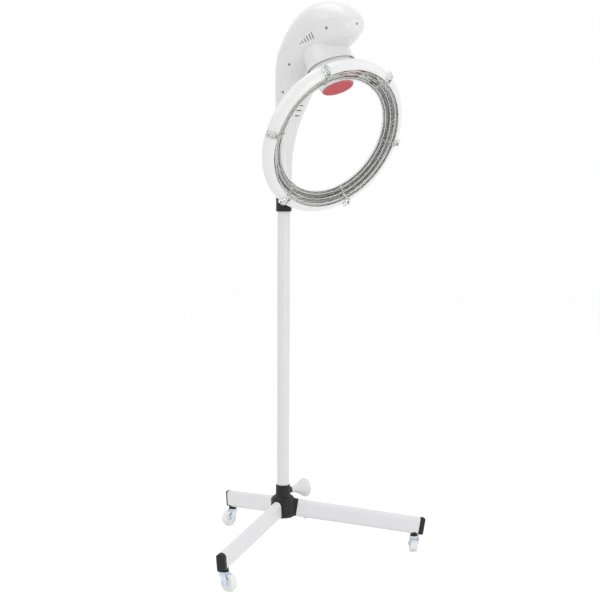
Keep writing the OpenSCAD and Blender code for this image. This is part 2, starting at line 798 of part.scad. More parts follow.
module ring_envelope(grow) {
    at_ring() rotate_extrude() translate([ring_r, 0]) scale([1, ring_depth / ring_w]) circle(r = ring_w / 2 + grow);
}

module rotor_hub() {
    color("#f2f2f3") difference() {
        at_rotor() rotate_extrude() polygon([[lens_r + 0.1, 0], [44.5, 0], [46.5, 3], [50, 14], [55, 28], [59.5, 42],
            [hub_rim_r - 1, 52], [hub_rim_r, 58], [hub_rim_r - 1, 66], [6.6, 66], [6.6, 62 + touch],
            [hub_rim_r - 5, 62 + touch], [hub_rim_r - 5, 53], [56.5, 42], [52, 28], [47, 14], [44, 6], [lens_r + 0.1, 4]]);
        at_rotor() cylinder(r = shaft_r + touch, h = far);
        ring_room();
        ring_neck(0.2);
    }
}

// The room that the ring takes up, cut into the hub
module ring_room() {
    at_ring() rotate_extrude() polygon([for (a = [0:10:350]) ring_point(a, -0.3)]);
}

module ring_neck(grow) {
    at_ring() translate([0, -ring_r, ring_depth / 2 - 3]) cylinder(r = 13 + grow, h = 26 + grow);
}

module hub_lens() {
    color("#c8324a") difference() {
        at_rotor() rotate_extrude() polygon([[0, -2.5], [42.5, -2.5], [44.5, -1], [44.5, -touch], [lens_r, -touch],
            [lens_r, 3], [0, 3]]);
        ring_room();
    }
}

module ring_profile(inset, t, a0, a1) {
    polygon(concat([for (i = [0:arc_n]) ring_point(mix(a0, a1, i / arc_n), inset)],
        [for (i = [arc_n:-1:0]) ring_point(mix(a0, a1, i / arc_n), inset + t)]));
}

module ring_shell() {
    color("#f3f3f4") difference() {
        union() {
            at_ring() rotate_extrude($fn = 128) ring_profile(0, ring_wall, rim_angle, edge_angle);
            difference() {
                ring_neck(0);
                at_ring() rotate_extrude() polygon([for (a = [0:10:350]) ring_point(a, ring_wall / 2)]);
            }
        }
        at_ring() translate([0, -ring_r, 0]) cylinder(r = 9, h = far);
    }
}

module ring_reflector() {
    color("#d9dcdf") difference() {
        at_ring() rotate_extrude($fn = 128) ring_profile(ring_wall + 0.4, 0.8, rim_angle + 3, edge_angle - 4);
        at_ring() translate([0, -ring_r, 0]) cylinder(r = 9, h = far);
    }
}

module ring_arc(at, r, from, to) {
    rotate([0, 0, from]) rotate_extrude(angle = to - from, $fn = 128) translate(at) circle(r = r);
}

module heat_tubes() {
    start = tube_gap_middle + tube_gap / 2;
    color("#e8e4da") at_ring() for (t = [outer_tube, inner_tube]) difference() {
        ring_arc(t, tube_d / 2, start, start + 360 - tube_gap);
        ring_arc(t, tube_d / 2 - 1, start - 1, start + 361 - tube_gap);
    }
}

module tube_filaments() {
    start = tube_gap_middle + tube_gap / 2;
    color("#4a4440") at_ring() for (t = [outer_tube, inner_tube])
        ring_arc(t, 1.6, start, start + 360 - tube_gap);
}

module tube_caps() {
    start = tube_gap_middle + tube_gap / 2;
    color("#e9e6df") at_ring() for (t = [outer_tube, inner_tube]) {
        ring_arc(t, tube_d / 2 + 1.2, start - 4.2, start - 0.01);
        ring_arc(t, tube_d / 2 + 1.2, start + 360 - tube_gap + 0.01, start + 360 - tube_gap + 4.2);
    }
}

module ring_wires() {
    start = tube_gap_middle - tube_gap / 2 + 5;
    color("#b3262b") at_ring() for (t = [[ring_r + 9, -2], [ring_r + 1, 2], [ring_r - 8, 6]])
        ring_arc(t, 1.3, start, start + tube_gap - 10);
}

function guard_at(i) = mix(guard_line[0], guard_line[1], (i + 0.6) / (guard_n + 0.2));

module guard_wires() {
    color("#c9ccd0") at_ring() for (i = [0:guard_n - 1]) rotate_extrude($fn = 128) translate(guard_at(i))
        circle(d = guard_d, $fn = 16);
}

module at_combs() {
    at_ring() for (k = [0:5]) rotate([0, 0, comb_first + 60 * k]) children();
}

module wire_combs() {
    across = guard_line[1] - guard_line[0];
    n = [across[1], -across[0]] / norm(across);
    color("#dfe5e8") difference() {
        at_combs() rotate([90, 0, 0]) linear_extrude(4, center = true) polygon([guard_line[0] + 1.6 * n,
            guard_line[0] - 2.6 * n, guard_line[1] - 2.6 * n, guard_line[1] + 1.6 * n]);
        at_ring() for (i = [0:guard_n - 1]) rotate_extrude($fn = 128) translate(guard_at(i))
            circle(d = guard_d + 0.3, $fn = 16);
        at_ring() rotate_extrude($fn = 128) ring_profile(0, ring_wall, rim_angle, edge_angle);
    }
}

module clip_blocks() {
    color("#e3e7ea") difference() {
        at_combs() rotate([90, 0, 0]) linear_extrude(14, center = true) polygon([[199.5, -21.5], [201, -26], [220, -26],
            [231, -19], [235, -11], [235, -5], [226, -4], [204, -12]]);
        at_ring() rotate_extrude($fn = 128) polygon([for (a = [0:10:350]) ring_point(a, -0.05)]);
        at_combs() translate([214, 0, -40]) cylinder(r = 1.6, h = 80);
    }
}

module clip_screws() {
    color("#3c3e40") at_combs() {
        translate([214, 0, -27.8]) cylinder(r = 3, h = 1.8 - touch);
        translate([214, 0, -27]) cylinder(r = 1.6 - touch, h = 5);
    }
}

leg_hub();
right_leg();
left_leg();
rear_leg();
leg_caps();
leg_bolts();
caster_seats();
caster_stems();
right_fork();
left_fork();
rear_fork();
right_axle();
left_axle();
rear_axle();
right_wheel();
left_wheel();
rear_wheel();
pole_clamp_knob();
pole_clamp_stud();
lower_pole();
pole_joint_sleeve();
upper_pole();
pole_collar();
collar_bush();
height_knob();
head_stem();
stem_foot();
swivel_bush();
chassis();
housing_cover();
housing_body();
housing_screws();
gear_motor();
pinion();
rotor_bearing();
brush_block();
control_board();
control_panel();
display_window();
start_button();
mode_button();
plus_button();
minus_button();
power_inlet();
power_switch();
rotor_hub();
hub_lens();
rotor_shaft();
drive_gear();
slip_rings();
ring_shell();
ring_reflector();
heat_tubes();
tube_filaments();
tube_caps();
ring_wires();
guard_wires();
wire_combs();
clip_blocks();
clip_screws();
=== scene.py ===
"""Looks of the hood hair dryer on a wheeled stand.

Materials, the wires in the ring's gap, floor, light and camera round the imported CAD.
"""
import json
import math

import bpy
from mathutils import Matrix, Vector


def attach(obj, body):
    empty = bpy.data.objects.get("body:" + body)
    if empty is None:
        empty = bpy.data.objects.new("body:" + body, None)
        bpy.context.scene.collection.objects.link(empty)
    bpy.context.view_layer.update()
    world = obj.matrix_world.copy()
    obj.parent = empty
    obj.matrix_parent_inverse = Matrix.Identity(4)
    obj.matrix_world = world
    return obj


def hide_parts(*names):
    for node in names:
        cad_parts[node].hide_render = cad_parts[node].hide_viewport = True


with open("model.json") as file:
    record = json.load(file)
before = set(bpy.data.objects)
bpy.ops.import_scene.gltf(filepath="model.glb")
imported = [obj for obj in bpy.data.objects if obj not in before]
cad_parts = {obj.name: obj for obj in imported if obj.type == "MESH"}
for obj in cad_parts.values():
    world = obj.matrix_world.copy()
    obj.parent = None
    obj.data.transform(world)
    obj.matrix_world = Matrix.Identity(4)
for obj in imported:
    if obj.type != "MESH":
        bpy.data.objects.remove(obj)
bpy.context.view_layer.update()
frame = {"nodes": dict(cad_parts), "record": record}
NODES = frame["nodes"]
MM = 0.001
FULL_TURN = 2 * math.pi

# Sizes that part.scad gives, in millimetres and degrees
COLLAR_TOP = 1036.0
LENS_RISE = 301.0
LENS_R = 41.0
ROTOR_REACH = 209.7
ROTOR_TILT = 24.8
RING_D = 458.0
RING_W = 62.4
RING_DEPTH = 44.0
RING_OFFSET = 84.5
RING_DROP = 107.0
RING_LEAN = 39.8
RING_PHASE = 10.7
RIM_ANGLE = -75.0
EDGE_ANGLE = 172.0
RING_R = RING_D / 2 - RING_W / 2

# Patterns and pieces that are made here, in millimetres and degrees unless a line says otherwise
LIP_INSET = 2
LENS_RING_PITCH = 2.4
COIL_TURNS = 950  # in a full circle of the ring
WEAVE_PITCH = 1.6
WEAVE_SLOPE = 0.8  # millimetres along the ring for each one across it
REAL_EDGE = 28  # a moulding's edge that bends more stays sharp
PIECE_EDGE = 50  # the same for the pieces made here
SAME_POINT_M = 1e-6  # points this close, in metres, are one
SLEEVE_START = -104.4
SLEEVE_TURN = 42.8
SLEEVE_STEPS = 14
WIRE_R = 0.85

ROTOR = (Matrix.Translation((0, -ROTOR_REACH, COLLAR_TOP + LENS_RISE))
         @ Matrix.Rotation(math.radians(-ROTOR_TILT), 4, "X"))
RING = (ROTOR @ Matrix.Rotation(math.radians(-RING_PHASE), 4, "Z")
        @ Matrix.Translation((0, RING_OFFSET, -RING_DROP))
        @ Matrix.Rotation(math.radians(-RING_LEAN), 4, "X"))
RING_M = Matrix.Scale(MM, 4) @ RING @ Matrix.Scale(1 / MM, 4)
ROTOR_M = Matrix.Scale(MM, 4) @ ROTOR @ Matrix.Scale(1 / MM, 4)


def rim_point(angle, inset):
    """A point on the ring's section, as distance from the ring's axis and height along it."""
    a = math.radians(angle)
    return Vector((RING_R + (RING_W / 2 - inset) * math.cos(a), (RING_DEPTH / 2 - inset) * math.sin(a)))


OUTER_LIP = rim_point(RIM_ANGLE, LIP_INSET)
INNER_LIP = rim_point(EDGE_ANGLE, LIP_INSET)
ACROSS = (INNER_LIP - OUTER_LIP).normalized()
INTO = Vector((-ACROSS.y, ACROSS.x)) if ACROSS.x > 0 else Vector((ACROSS.y, -ACROSS.x))


def in_channel(across, deep, angle):
    """A point in the ring's open channel, in metres.

    It lies so far from the outer lip towards the inner one, and so deep behind the plane of the lips, both in
    millimetres, at that angle in degrees round the ring.
    """
    flat = OUTER_LIP + ACROSS * across + INTO * deep
    a = math.radians(angle)
    return RING_M @ (Vector((flat.x * math.cos(a), flat.x * math.sin(a), flat.y)) * MM)


# ---- Materials ----

class Surface:
    """A Principled material, and the nodes that vary it. Lengths are in millimetres."""

    def __init__(self, name, color, rough, **sockets):
        self.mat = bpy.data.materials.new(name)
        self.mat.use_nodes = True
        self.tree = self.mat.node_tree
        self.shader = self.tree.nodes["Principled BSDF"]
        self.color = color
        self.shader.inputs["Base Color"].default_value = (*color, 1)
        self.shader.inputs["Roughness"].default_value = rough
        for key, value in sockets.items():
            self.shader.inputs[key.replace("_", " ")].default_value = value
        self.place = self.add("ShaderNodeTexCoord").outputs["Object"]
        self.normal = None

    def add(self, kind, inputs=(), **values):
        """A new node, with its settings and with its inputs linked or set."""
        node = self.tree.nodes.new(kind)
        for key, value in values.items():
            setattr(node, key, value)
        for key, value in dict(inputs).items():
            self.put(node.inputs[key], value)
        return node

    def put(self, socket, value):
        """Links a socket to value, or sets it when value is a plain one."""
        if isinstance(value, bpy.types.NodeSocket):
            self.tree.links.new(value, socket)
        else:
            socket.default_value = value

    def math(self, kind, a, b=0.0):
        """A function of one or two values."""
        return self.add("ShaderNodeMath", {0: a, 1: b}, operation=kind).outputs[0]

    def vmath(self, kind, a, b=(0, 0, 0), out=0):
        """A function of one or two vectors. Its value is output 0 as a vector and output 1 as a number."""
        return self.add("ShaderNodeVectorMath", {0: a, 1: b}, operation=kind).outputs[out]

    def noise(self, size, detail=3.0, at=None):
        """Noise of about that grain, from 0 to 1."""
        at = self.place if at is None else at
        inputs = {"Vector": at, "Scale": 1 / (size * MM), "Detail": detail}
        return self.add("ShaderNodeTexNoise", inputs).outputs["Fac"]

    def cells(self, size):
        """Distance from the middle of the nearest cell, for cells of about that size."""
        inputs = {"Vector": self.place, "Scale": 1 / (size * MM)}
        return self.add("ShaderNodeTexVoronoi", inputs).outputs["Distance"]

    def span(self, value, low, high, to_low, to_high):
        """Maps low..high of value to to_low..to_high, and holds the ends."""
        inputs = {"Value": value, "From Min": low, "From Max": high, "To Min": to_low, "To Max": to_high}
        return self.add("ShaderNodeMapRange", inputs).outputs["Result"]

    def blend(self, fac, a, b):
        """The colour a where fac is 0, and b where it is 1."""
        node = self.add("ShaderNodeMix", data_type="RGBA")
        self.put(node.inputs[0], fac)
        for socket, value in ((node.inputs[6], a), (node.inputs[7], b)):
            self.put(socket, value if isinstance(value, bpy.types.NodeSocket) else (*value, 1))
        return node.outputs[2]

    def paint(self, fac, other):
        """Mixes another colour in where fac is 1."""
        links = self.shader.inputs["Base Color"].links
        base = links[0].from_socket if links else self.color
        self.put(self.shader.inputs["Base Color"], self.blend(fac, base, other))

    def mottle(self, other, amount, size, detail=3, low=0.4, high=0.7):
        """Paints up to that amount of another colour in patches of about that size."""
        self.paint(self.span(self.noise(size, detail), low, high, 0, amount), other)

    def vary_rough(self, fac, low, high):
        """Lets the gloss change with fac, between two roughnesses."""
        self.put(self.shader.inputs["Roughness"], self.span(fac, 0.3, 0.7, low, high))

    def bump(self, height, depth):
        """Adds relief: height from 0 to 1 stands for depth in millimetres."""
        inputs = {"Height": height, "Distance": depth * MM}
        if self.normal is not None:
            inputs["Normal"] = self.normal
        self.normal = self.add("ShaderNodeBump", inputs).outputs["Normal"]
        self.put(self.shader.inputs["Normal"], self.normal)

    def edges(self, radius):
        """Rounds the look of sharp edges to that radius."""
        self.normal = self.add("ShaderNodeBevel", {"Radius": radius * MM}, samples=6).outputs["Normal"]
        self.put(self.shader.inputs["Normal"], self.normal)

    def local(self, matrix):
        """Object coordinates in another frame, whose axes are the matrix's columns."""
        moved = self.vmath("SUBTRACT", self.place, tuple(matrix.translation))
        parts = [self.vmath("DOT_PRODUCT", moved, tuple(matrix.col[i].to_3d()), out=1) for i in range(3)]
        return self.add("ShaderNodeCombineXYZ", {0: parts[0], 1: parts[1], 2: parts[2]}).outputs[0]

    def polar(self, matrix):
        """Sockets with the angle in turns, and the distance from the axis and height along it in metres."""
        x, y, z = self.add("ShaderNodeSeparateXYZ", {0: self.local(matrix)}).outputs
        angle = self.math("DIVIDE", self.math("ARCTAN2", y, x), FULL_TURN)
        flat = self.add("ShaderNodeCombineXYZ", {0: x, 1: y, 2: 0.0}).outputs[0]
        return angle, self.vmath("LENGTH", flat, out=1), z

    def lines_round_ring(self, size, detail, pull, at):
        """Noise drawn out into lines that run round the ring: the smaller pull is, the longer they are."""
        return self.noise(size, detail, at=self.vmath("MULTIPLY", at, (pull, 1, 1)))

    def round_ring(self):
        """Coordinates that follow the ring: along it, out from its axis, and along its axis."""
        angle, radius, z = self.polar(RING_M)
        along = self.math("MULTIPLY", angle, 0.25)
        return self.add("ShaderNodeCombineXYZ", {0: along, 1: radius, 2: z}).outputs[0]


def moulded_white():
    """Glossy white plastic: the housing, the hub's dome and the clamp's knob."""
    s = Surface("moulded_white", (0.80, 0.80, 0.805), 0.22, Specular_IOR_Level=0.5, Coat_Weight=0.25,
                Coat_Roughness=0.08)
    s.edges(0.5)
    s.mottle((0.775, 0.775, 0.78), 0.6, 120, 2, 0.35)
    s.vary_rough(s.noise(26, 4), 0.19, 0.265)
    s.bump(s.noise(2.2, 3), 0.006)
    s.bump(s.noise(55, 1), 0.10)
    return s.mat


def ring_white():
    """The ring's moulding, a cleaner white than the head's."""
    s = Surface("ring_white", (0.88, 0.88, 0.88), 0.24, Coat_Weight=0.25, Coat_Roughness=0.08)
    s.edges(0.5)
    s.mottle((0.86, 0.86, 0.865), 0.6, 120, 2, 0.35)
    s.vary_rough(s.noise(26, 4), 0.19, 0.265)
    s.bump(s.noise(2.2, 3), 0.006)
    return s.mat


def powder_white():
    """Powder coat on the steel tubes."""
    s = Surface("powder_white", (0.78, 0.775, 0.79), 0.3, Coat_Weight=0.35, Coat_Roughness=0.12)
    s.edges(0.4)
    s.mottle((0.755, 0.75, 0.765), 0.6, 90, 2, 0.35)
    s.vary_rough(s.noise(14, 4), 0.29, 0.38)
    s.bump(s.noise(1.3, 3), 0.005)
    return s.mat


def moulded_black():
    """Black plastic with a fine moulded grain."""
    s = Surface("moulded_black", (0.009, 0.009, 0.010), 0.36, Specular_IOR_Level=0.32)
    s.edges(0.7)
    s.mottle((0.017, 0.017, 0.018), 0.7, 9, 4, 0.45, 0.75)
    s.vary_rough(s.noise(6, 3), 0.36, 0.5)
    s.bump(s.cells(0.9), 0.05)
    s.bump(s.noise(14, 2), 0.08)
    return s.mat


def zinc():
    """Steel with a bluish zinc plate."""
    s = Surface("zinc", (0.66, 0.71, 0.77), 0.28, Metallic=1.0)
    s.edges(0.4)
    s.mottle((0.56, 0.63, 0.72), 0.8, 16)
    s.vary_rough(s.noise(2.5, 4), 0.28, 0.4)
    s.bump(s.noise(0.8, 2), 0.012)
    return s.mat


def nylon():
    """The wheels: pale nylon that lets a little light in."""
    s = Surface("nylon", (0.93, 0.945, 0.955), 0.32, Transmission_Weight=0.05, IOR=1.5,
                Subsurface_Weight=0.25, Subsurface_Scale=0.006)
    s.edges(0.6)
    s.mottle((0.87, 0.90, 0.93), 0.6, 18)
    s.vary_rough(s.noise(5, 3), 0.29, 0.42)
    s.bump(s.noise(1.1, 3), 0.02)
    return s.mat


def plain(name, color, rough, other, grain=8, depth=0.02, bevel=0.3, **sockets):
    """A small or hidden part's surface: two tones, an uneven gloss and a fine relief."""
    s = Surface(name, color, rough, **sockets)
    s.edges(bevel)
    s.mottle(other, 0.8, grain)
    s.vary_rough(s.noise(grain / 3, 3), max(0.03, rough - 0.06), rough + 0.08)
    s.bump(s.noise(grain / 8, 3), depth)
    return s.mat


def turned_steel():
    """Bright steel with fine turning marks that run round the stem."""
    s = Surface("turned_steel", (0.72, 0.73, 0.75), 0.16, Metallic=1.0)
    s.edges(0.3)
    lines = s.noise(0.35, 2, at=s.vmath("MULTIPLY", s.place, (0.05, 0.05, 1)))
    s.paint(s.span(lines, 0.3, 0.7, 0, 0.4), (0.6, 0.61, 0.63))
    s.vary_rough(lines, 0.1, 0.22)
    s.bump(lines, 0.002)
    return s.mat


def circuit_board():
    """Green board with a grid of paler tracks."""
    s = Surface("circuit_board", (0.02, 0.16, 0.07), 0.35, Coat_Weight=0.3)
    black, white = (0, 0, 0, 1), (1, 1, 1, 1)
    tracks = s.add("ShaderNodeTexBrick", {"Vector": s.place, "Scale": 130.0, "Mortar Size": 0.012,
                                          "Color1": black, "Color2": black, "Mortar": white})
    s.paint(tracks.outputs["Fac"], (0.05, 0.28, 0.13))
    s.vary_rough(s.noise(3, 3), 0.28, 0.42)
    s.bump(tracks.outputs["Fac"], 0.035)
    return s.mat


def red_lens():
    """The hub's red cover: fine rings, painted shade in a dark band near its edge where a groove would be,
    and a paler rim that is a painted highlight.
    """
    s = Surface("red_lens", (0.55, 0.009, 0.024), 0.35, IOR=1.5, Coat_Weight=0.06, Coat_Roughness=0.1,
                Specular_IOR_Level=0.2)
    _, radius, _ = s.polar(ROTOR_M)
    rings = s.math("SINE", s.math("MULTIPLY", radius, FULL_TURN / (LENS_RING_PITCH * MM)))
    # mask of the painted highlight: a paler rim along the lens's edge
    painted_rim_highlight = s.span(radius, (LENS_R - 2.2) * MM, (LENS_R - 0.8) * MM, 0, 1)
    shade_band_in = s.span(radius, (LENS_R - 5) * MM, (LENS_R - 3.4) * MM, 0, 1)
    shade_band_out = s.span(radius, (LENS_R - 3) * MM, (LENS_R - 1.8) * MM, 0.7, 0)
    painted_groove_shade = s.math("MULTIPLY", shade_band_in, shade_band_out)
    s.mottle((0.41, 0.010, 0.024), 0.7, 20, low=0.35)
    # painted shade: a dark band near the edge, standing in for the shade in a groove
    s.paint(painted_groove_shade, (0.30, 0.008, 0.018))
    # painted highlight: the paler rim along the lens's edge
    s.paint(painted_rim_highlight, (0.60, 0.10, 0.13))
    s.vary_rough(s.noise(6, 3), 0.28, 0.38)
    s.bump(s.span(rings, -1, 1, 0, 1), 0.05)
    return s.mat


def polished_reflector():
    """Rolled aluminium: fine lines that run round the ring, a slow ripple from its forming, and painted
    darker streaks of reflection along that ripple.
    """
    s = Surface("polished_reflector", (0.97, 0.97, 0.96), 0.12, Metallic=0.5)
    at = s.round_ring()
    lines = s.lines_round_ring(0.9, 4, 0.04, at)
    ripple_and_painted_streaks = s.lines_round_ring(7, 2, 0.10, at)
    # painted reflection: darker streaks in the metal's colour along the ripple, as of dark things mirrored in
    # it
    s.paint(s.span(ripple_and_painted_streaks, 0.54, 0.63, 0, 1), (0.50, 0.495, 0.47))
    s.paint(s.span(lines, 0.5, 0.7, 0, 0.5), (0.84, 0.84, 0.83))
    s.vary_rough(lines, 0.1, 0.24)
    s.bump(ripple_and_painted_streaks, 0.14)
    s.bump(lines, 0.01)
    return s.mat


def guard_chrome():
    """Drawn wire, plated, with faint lines along it."""
    s = Surface("guard_chrome", (0.74, 0.74, 0.73), 0.22, Metallic=1.0)
    lines = s.lines_round_ring(0.5, 3, 0.05, s.round_ring())
    s.paint(s.span(lines, 0.4, 0.7, 0, 0.7), (0.46, 0.46, 0.45))
    s.vary_rough(lines, 0.28, 0.38)
    s.bump(lines, 0.006)
    return s.mat


def quartz():
    """The infrared tubes: the inner one clear, the outer one half coated inside, which looks frosted."""
    s = Surface("quartz", (0.97, 0.97, 0.96), 0.04, Transmission_Weight=1.0, IOR=1.46)
    coating = (0.93, 0.93, 0.92)
    _, radius, _ = s.polar(RING_M)
    outer = s.span(radius, (RING_R - 1) * MM, (RING_R + 3) * MM, 0, 1)
    s.mottle(coating, 0.6, 30, 2)
    s.paint(s.math("MULTIPLY", outer, s.span(s.noise(9, 3), 0.35, 0.65, 0.4, 1)), coating)
    s.put(s.shader.inputs["Transmission Weight"], s.span(outer, 0, 1, 1.0, 0.35))
    frosting = s.span(outer, 0, 1, 0.0, 0.2)
    smears = s.span(s.noise(8, 3), 0.3, 0.7, 0.02, 0.07)
    s.put(s.shader.inputs["Roughness"], s.math("ADD", frosting, smears))
    s.bump(s.noise(12, 2), 0.05)
    return s.mat


def clear_plastic():
    """The clear clips and holders on the ring."""
    s = Surface("clear_plastic", (0.93, 0.94, 0.93), 0.12, Transmission_Weight=0.85, IOR=1.49)
    s.edges(0.4)
    s.mottle((0.86, 0.88, 0.87), 0.8, 9)
    s.vary_rough(s.noise(3, 3), 0.07, 0.2)
    s.bump(s.noise(2.5, 3), 0.05)
    return s.mat


def coiled_filament():
    """A wound wire: dark turns across the tube, about every 1.3 mm."""
    s = Surface("coiled_filament", (0.10, 0.09, 0.08), 0.5, Metallic=0.6)
    angle, _, _ = s.polar(RING_M)
    turns = s.math("SINE", s.math("MULTIPLY", angle, FULL_TURN * COIL_TURNS))
    s.paint(s.span(turns, -0.2, 0.8, 0, 0.8), (0.035, 0.03, 0.03))
    s.vary_rough(s.noise(4, 3), 0.42, 0.6)
    s.bump(s.span(turns, -1, 1, 0, 1), 0.3)
    return s.mat


def glass_sleeve():
    """Braided glass-fibre sleeving: a fine diamond weave with a dull sheen."""
    s = Surface("glass_sleeve", (0.86, 0.88, 0.84), 0.62, Sheen_Weight=0.15)
    angle, radius, z = s.polar(RING_M)
    along = s.math("MULTIPLY", angle, FULL_TURN * RING_R * MM)
    weave = None
    for sign in (1, -1):
        line = s.math("ADD", along, s.math("MULTIPLY", s.math("ADD", radius, z), sign * WEAVE_SLOPE))
        wave = s.math("SINE", s.math("MULTIPLY", line, FULL_TURN / (WEAVE_PITCH * MM)))
        weave = wave if weave is None else s.math("MULTIPLY", weave, wave)
    s.mottle((0.66, 0.68, 0.62), 0.8, 7, low=0.35)
    s.paint(s.span(weave, 0.1, 0.9, 0, 0.35), (0.93, 0.94, 0.91))
    s.vary_rough(s.noise(5, 3), 0.52, 0.72)
    s.bump(s.span(weave, -1, 1, 0, 1), 0.25)
    return s.mat


WHITE = moulded_white()
RING_WHITE = ring_white()
STEEL_WHITE = powder_white()
BLACK = moulded_black()
ZINC = zinc()
NYLON = nylon()
TURNED = turned_steel()
ACETAL = plain("acetal", (0.70, 0.68, 0.61), 0.4, (0.64, 0.62, 0.55))
PRIMER = plain("primer", (0.20, 0.205, 0.215), 0.5, (0.15, 0.155, 0.165), 12, 0.03)
BRASS = plain("brass", (0.68, 0.48, 0.2), 0.25, (0.55, 0.38, 0.15), 4, 0.01, Metallic=1.0)
BOARD = circuit_board()
PANEL = plain("panel_grey", (0.055, 0.06, 0.066), 0.42, (0.075, 0.08, 0.088), 3, 0.05, 0.5)
DISPLAY = plain("display_window", (0.10, 0.006, 0.01), 0.1, (0.06, 0.004, 0.006), 20, 0.002, Coat_Weight=0.8)
BUTTON = plain("button_grey", (0.55, 0.56, 0.58), 0.5, (0.48, 0.49, 0.51), 4, 0.03, 0.6)
LENS = red_lens()
REFLECTOR = polished_reflector()
QUARTZ = quartz()
FILAMENT = coiled_filament()
CERAMIC = plain("ceramic", (0.72, 0.70, 0.64), 0.3, (0.62, 0.60, 0.54), 5, 0.02, Coat_Weight=0.3)
WIRE_RED = plain("wire_red", (0.50, 0.02, 0.03), 0.45, (0.38, 0.015, 0.025), 3, 0.05)
WIRE_DARK = plain("wire_dark", (0.035, 0.015, 0.018), 0.4, (0.06, 0.02, 0.025), 3, 0.05)
WIRE_WHITE = plain("wire_white", (0.80, 0.79, 0.76), 0.4, (0.70, 0.69, 0.66), 3, 0.05)
TERMINAL = plain("terminal_sleeve", (0.012, 0.012, 0.013), 0.38, (0.028, 0.028, 0.03), 3, 0.06, 0.4)
SLEEVE = glass_sleeve()
BLACK_STEEL = plain("black_steel", (0.24, 0.24, 0.245), 0.4, (0.17, 0.17, 0.175), 2, 0.02, 0.2, Metallic=0.6)
CHROME = guard_chrome()
CLEAR = clear_plastic()

BY_SLOT = {
    "black_plastic": BLACK,
    "white_steel": STEEL_WHITE,
    "zinc_steel": ZINC,
    "nylon": NYLON,
    "white_plastic": WHITE,
    "bush_plastic": ACETAL,
    "stem_steel": TURNED,
    "frame_steel": PRIMER,
    "brass": BRASS,
    "board": BOARD,
    "panel_grey": PANEL,
    "display_red": DISPLAY,
    "button_grey": BUTTON,
    "red_lens": LENS,
    "reflector": REFLECTOR,
    "quartz": QUARTZ,
    "filament": FILAMENT,
    "ceramic": CERAMIC,
    "wire_red": WIRE_RED,
    "guard_steel": CHROME,
    "clear_plastic": CLEAR,
    "black_steel": BLACK_STEEL,
}
for part in frame["record"]["subparts"]:
    node = NODES[part["node"]]
    node.data.materials.clear()
    node.data.materials.append(BY_SLOT[part["material_slot"]])
NODES["ring_shell"].data.materials[0] = RING_WHITE


def smooth_shading(degrees):
    """A modifier's node group that shades a faceted moulding smooth, apart from its real edges."""
    group = bpy.data.node_groups.new("smooth_shading", "GeometryNodeTree")
    for way in ("INPUT", "OUTPUT"):
        group.interface.new_socket("Geometry", in_out=way, socket_type="NodeSocketGeometry")
    merge = group.nodes.new("GeometryNodeMergeByDistance")
    merge.inputs["Distance"].default_value = SAME_POINT_M
    drop = group.nodes.new("GeometryNodeRemoveAttribute")
    drop.inputs["Name"].default_value = "custom_normal"
    faces = group.nodes.new("GeometryNodeSetShadeSmooth")
    edges = group.nodes.new("GeometryNodeSetShadeSmooth")
    edges.domain = "EDGE"
    bend = group.nodes.new("GeometryNodeInputMeshEdgeAngle")
    below = group.nodes.new("ShaderNodeMath")
    below.operation = "LESS_THAN"
    below.inputs[1].default_value = math.radians(degrees)
    link = group.links.new
    link(bend.outputs["Unsigned Angle"], below.inputs[0])
    link(below.outputs[0], edges.inputs["Shade Smooth"])
    chain = [group.nodes.new("NodeGroupInput"), merge, drop, faces, edges, group.nodes.new("NodeGroupOutput")]
    for a, b in zip(chain, chain[1:]):
        link(a.outputs[0], b.inputs[0])
    return group


SMOOTH_SHADING = smooth_shading(REAL_EDGE)
for name in ("housing_cover", "housing_body", "ring_shell", "rotor_hub"):
    NODES[name].modifiers.new("smooth_shading", "NODES").node_group = SMOOTH_SHADING


# ---- Pieces in the gap between the tubes' ends ----

class Shape:
    """Gathers lofted skins and makes one piece of them."""

    def __init__(self):
        self.verts = []
        self.faces = []

    def loft(self, rings):
        """A closed skin over rings of the same number of points."""
        n = len(rings[0])
        first = len(self.verts)
        for ring in rings:
            self.verts.extend(ring)
        for i in range(len(rings) - 1):
            for j in range(n):
                a, b = first + i * n + j, first + i * n + (j + 1) % n
                self.faces.append((a, b, b + n, a + n))
        last = first + (len(rings) - 1) * n
        self.faces.append(tuple(range(first + n - 1, first - 1, -1)))
        self.faces.append(tuple(range(last, last + n)))

    def sweep(self, path, radius, sides=12):
        """A round tube with flat ends along path. Its radius in metres can be a function of the way along."""
        rings = []
        up = Vector((0.3, 0.2, 0.9))
        count = len(path)
        for i, p in enumerate(path):
            tangent = (path[min(i + 1, count - 1)] - path[max(i - 1, 0)]).normalized()
            u = (up - tangent * up.dot(tangent)).normalized()
            v = tangent.cross(u)
            up = u
            size = radius(i / (count - 1)) if callable(radius) else radius
            rings.append([p + u * (size * math.cos(FULL_TURN * k / sides))
                          + v * (size * math.sin(FULL_TURN * k / sides)) for k in range(sides)])
        self.loft(rings)

    def piece(self, name, material, slot, body="rotor"):
        """One object of all the skins, which rides on that body."""
        mesh = bpy.data.meshes.new(name)
        mesh.from_pydata([tuple(v) for v in self.verts], [], self.faces)
        mesh.update()
        mesh.polygons.foreach_set("use_smooth", [len(p.vertices) == 4 for p in mesh.polygons])
        mesh.set_sharp_from_angle(angle=math.radians(PIECE_EDGE))
        mesh.materials.append(material)
        obj = bpy.data.objects.new(name, mesh)
        bpy.context.scene.collection.objects.link(obj)
        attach(obj, body)
        return obj


